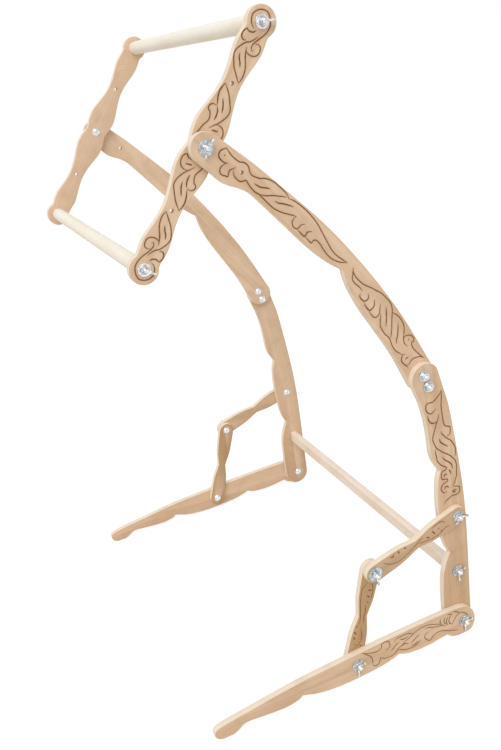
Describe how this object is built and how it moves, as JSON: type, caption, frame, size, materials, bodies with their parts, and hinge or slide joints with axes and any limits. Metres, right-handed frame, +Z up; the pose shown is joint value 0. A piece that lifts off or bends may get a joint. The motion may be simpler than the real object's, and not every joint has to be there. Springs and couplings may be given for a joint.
{
  "type": "embroidery floor stand",
  "caption": "Folding wooden floor stand whose curved arms carry a tilting work frame with rollers for embroidery, clamped by wing nuts.",
  "frame": {"origin": "on the floor, at the middle of the stand's outline seen from above", "axes": "+Z up, -Y towards the tips of the feet and the person who sits at the frame, +X to their right as they face the stand"},
  "size_m": [0.6198, 0.4357, 0.9182],
  "materials": {
    "board": "satin",
    "dowel": "satin",
    "zinc": "satin"
  },
  "bodies": {
    "stand": {"left_upright": "board", "right_upright": "board", "left_arm": "board", "right_arm": "board", "cross_rail": "dowel", "elbow_bolts": "zinc", "elbow_washers": "zinc", "elbow_nuts": "zinc", "foot_pivot_bolts": "zinc", "foot_pivot_washers": "zinc", "link_bolts": "zinc", "link_washers": "zinc", "rail_bolts": "zinc", "rail_washers": "zinc"},
    "work_frame": {"left_frame_plate": "board", "right_frame_plate": "board", "tilt_bolts": "zinc", "tilt_spacers": "zinc", "tilt_washers": "zinc"},
    "upper_roller": {"upper_roller": "dowel", "upper_roller_bolts": "zinc", "upper_roller_washers": "zinc"},
    "lower_roller": {"lower_roller": "dowel", "lower_roller_bolts": "zinc", "lower_roller_washers": "zinc"},
    "left_foot": {"left_foot": "board"},
    "left_lower_link": {"left_lower_link": "board", "left_foot_link_bolt": "zinc", "left_foot_link_washer": "zinc", "left_knee_bolt": "zinc", "left_knee_washer": "zinc"},
    "left_upper_link": {"left_upper_link": "board"},
    "left_upper_roller_wing_nut": {"left_upper_roller_wing_nut": "zinc"},
    "left_lower_roller_wing_nut": {"left_lower_roller_wing_nut": "zinc"},
    "left_tilt_wing_nut": {"left_tilt_wing_nut": "zinc"},
    "left_link_wing_nut": {"left_link_wing_nut": "zinc"},
    "left_knee_wing_nut": {"left_knee_wing_nut": "zinc"},
    "left_foot_link_wing_nut": {"left_foot_link_wing_nut": "zinc"},
    "left_foot_wing_nut": {"left_foot_wing_nut": "zinc"},
    "left_rail_wing_nut": {"left_rail_wing_nut": "zinc"},
    "right_foot": {"right_foot": "board"},
    "right_lower_link": {"right_lower_link": "board", "right_foot_link_bolt": "zinc", "right_foot_link_washer": "zinc", "right_knee_bolt": "zinc", "right_knee_washer": "zinc"},
    "right_upper_link": {"right_upper_link": "board"},
    "right_upper_roller_wing_nut": {"right_upper_roller_wing_nut": "zinc"},
    "right_lower_roller_wing_nut": {"right_lower_roller_wing_nut": "zinc"},
    "right_tilt_wing_nut": {"right_tilt_wing_nut": "zinc"},
    "right_link_wing_nut": {"right_link_wing_nut": "zinc"},
    "right_knee_wing_nut": {"right_knee_wing_nut": "zinc"},
    "right_foot_link_wing_nut": {"right_foot_link_wing_nut": "zinc"},
    "right_foot_wing_nut": {"right_foot_wing_nut": "zinc"},
    "right_rail_wing_nut": {"right_rail_wing_nut": "zinc"}
  },
  "joints": [
    {"name": "work_frame_tilt", "type": "hinge", "parent": "stand", "child": "work_frame", "pos_m": [0, -0.09251, 0.78091], "axis": [1, 0, 0], "range_deg": [-82, 68]},
    {"name": "upper_roller_turn", "type": "hinge", "parent": "work_frame", "child": "upper_roller", "pos_m": [0, -0.00161, 0.90023], "axis": [1, 0, 0], "continuous": true},
    {"name": "lower_roller_turn", "type": "hinge", "parent": "work_frame", "child": "lower_roller", "pos_m": [0, -0.18341, 0.66159], "axis": [1, 0, 0], "continuous": true},
    {"name": "left_foot_fold", "type": "hinge", "parent": "stand", "child": "left_foot", "pos_m": [-0.2922, 0.19725, 0.024], "axis": [-1, 0, 0], "range_deg": [-5, 62]},
    {"name": "left_lower_link_turn", "type": "hinge", "parent": "left_foot", "child": "left_lower_link", "pos_m": [-0.282, 0.01026, 0.02628], "axis": [1, 0, 0], "range_deg": [-6.3, 77]},
    {"name": "left_upper_link_turn", "type": "hinge", "parent": "stand", "child": "left_upper_link", "pos_m": [-0.2922, 0.19562, 0.21099], "axis": [-1, 0, 0], "range_deg": [-6.3, 77]},
    {"name": "left_upper_roller_wing_nut_turn", "type": "hinge", "parent": "upper_roller", "child": "left_upper_roller_wing_nut", "pos_m": [-0.27, -0.00161, 0.90023], "axis": [-1, 0, 0], "continuous": true},
    {"name": "left_lower_roller_wing_nut_turn", "type": "hinge", "parent": "lower_roller", "child": "left_lower_roller_wing_nut", "pos_m": [-0.27, -0.18341, 0.66159], "axis": [-1, 0, 0], "continuous": true},
    {"name": "left_tilt_wing_nut_turn", "type": "hinge", "parent": "work_frame", "child": "left_tilt_wing_nut", "pos_m": [-0.282, -0.09251, 0.78091], "axis": [-1, 0, 0], "continuous": true},
    {"name": "left_link_wing_nut_turn", "type": "hinge", "parent": "stand", "child": "left_link_wing_nut", "pos_m": [-0.3022, 0.19562, 0.21099], "axis": [-1, 0, 0], "continuous": true},
    {"name": "left_knee_wing_nut_turn", "type": "hinge", "parent": "left_lower_link", "child": "left_knee_wing_nut", "pos_m": [-0.3022, 0.05336, 0.16839], "axis": [-1, 0, 0], "continuous": true},
    {"name": "left_foot_link_wing_nut_turn", "type": "hinge", "parent": "left_lower_link", "child": "left_foot_link_wing_nut", "pos_m": [-0.3022, 0.01026, 0.02628], "axis": [-1, 0, 0], "continuous": true},
    {"name": "left_foot_wing_nut_turn", "type": "hinge", "parent": "stand", "child": "left_foot_wing_nut", "pos_m": [-0.3022, 0.19725, 0.024], "axis": [-1, 0, 0], "continuous": true},
    {"name": "left_rail_wing_nut_turn", "type": "hinge", "parent": "stand", "child": "left_rail_wing_nut", "pos_m": [-0.292, 0.19725, 0.11], "axis": [-1, 0, 0], "continuous": true},
    {"name": "right_foot_fold", "type": "hinge", "parent": "stand", "child": "right_foot", "pos_m": [0.2922, 0.19725, 0.024], "axis": [-1, 0, 0], "range_deg": [-5, 62]},
    {"name": "right_lower_link_turn", "type": "hinge", "parent": "right_foot", "child": "right_lower_link", "pos_m": [0.282, 0.01026, 0.02628], "axis": [1, 0, 0], "range_deg": [-6.3, 77]},
    {"name": "right_upper_link_turn", "type": "hinge", "parent": "stand", "child": "right_upper_link", "pos_m": [0.2922, 0.19562, 0.21099], "axis": [-1, 0, 0], "range_deg": [-6.3, 77]},
    {"name": "right_upper_roller_wing_nut_turn", "type": "hinge", "parent": "upper_roller", "child": "right_upper_roller_wing_nut", "pos_m": [0.27, -0.00161, 0.90023], "axis": [1, 0, 0], "continuous": true},
    {"name": "right_lower_roller_wing_nut_turn", "type": "hinge", "parent": "lower_roller", "child": "right_lower_roller_wing_nut", "pos_m": [0.27, -0.18341, 0.66159], "axis": [1, 0, 0], "continuous": true},
    {"name": "right_tilt_wing_nut_turn", "type": "hinge", "parent": "work_frame", "child": "right_tilt_wing_nut", "pos_m": [0.282, -0.09251, 0.78091], "axis": [1, 0, 0], "continuous": true},
    {"name": "right_link_wing_nut_turn", "type": "hinge", "parent": "stand", "child": "right_link_wing_nut", "pos_m": [0.3022, 0.19562, 0.21099], "axis": [1, 0, 0], "continuous": true},
    {"name": "right_knee_wing_nut_turn", "type": "hinge", "parent": "right_lower_link", "child": "right_knee_wing_nut", "pos_m": [0.3022, 0.05336, 0.16839], "axis": [1, 0, 0], "continuous": true},
    {"name": "right_foot_link_wing_nut_turn", "type": "hinge", "parent": "right_lower_link", "child": "right_foot_link_wing_nut", "pos_m": [0.3022, 0.01026, 0.02628], "axis": [1, 0, 0], "continuous": true},
    {"name": "right_foot_wing_nut_turn", "type": "hinge", "parent": "stand", "child": "right_foot_wing_nut", "pos_m": [0.3022, 0.19725, 0.024], "axis": [1, 0, 0], "continuous": true},
    {"name": "right_rail_wing_nut_turn", "type": "hinge", "parent": "stand", "child": "right_rail_wing_nut", "pos_m": [0.292, 0.19725, 0.11], "axis": [1, 0, 0], "continuous": true}
  ],
  "couplings": [
    {"joint": "left_lower_link_turn", "follows": "left_foot_fold", "ratio": 1.24},
    {"joint": "left_upper_link_turn", "follows": "left_foot_fold", "ratio": 1.24},
    {"joint": "right_lower_link_turn", "follows": "right_foot_fold", "ratio": 1.24},
    {"joint": "right_upper_link_turn", "follows": "right_foot_fold", "ratio": 1.24}
  ]
}
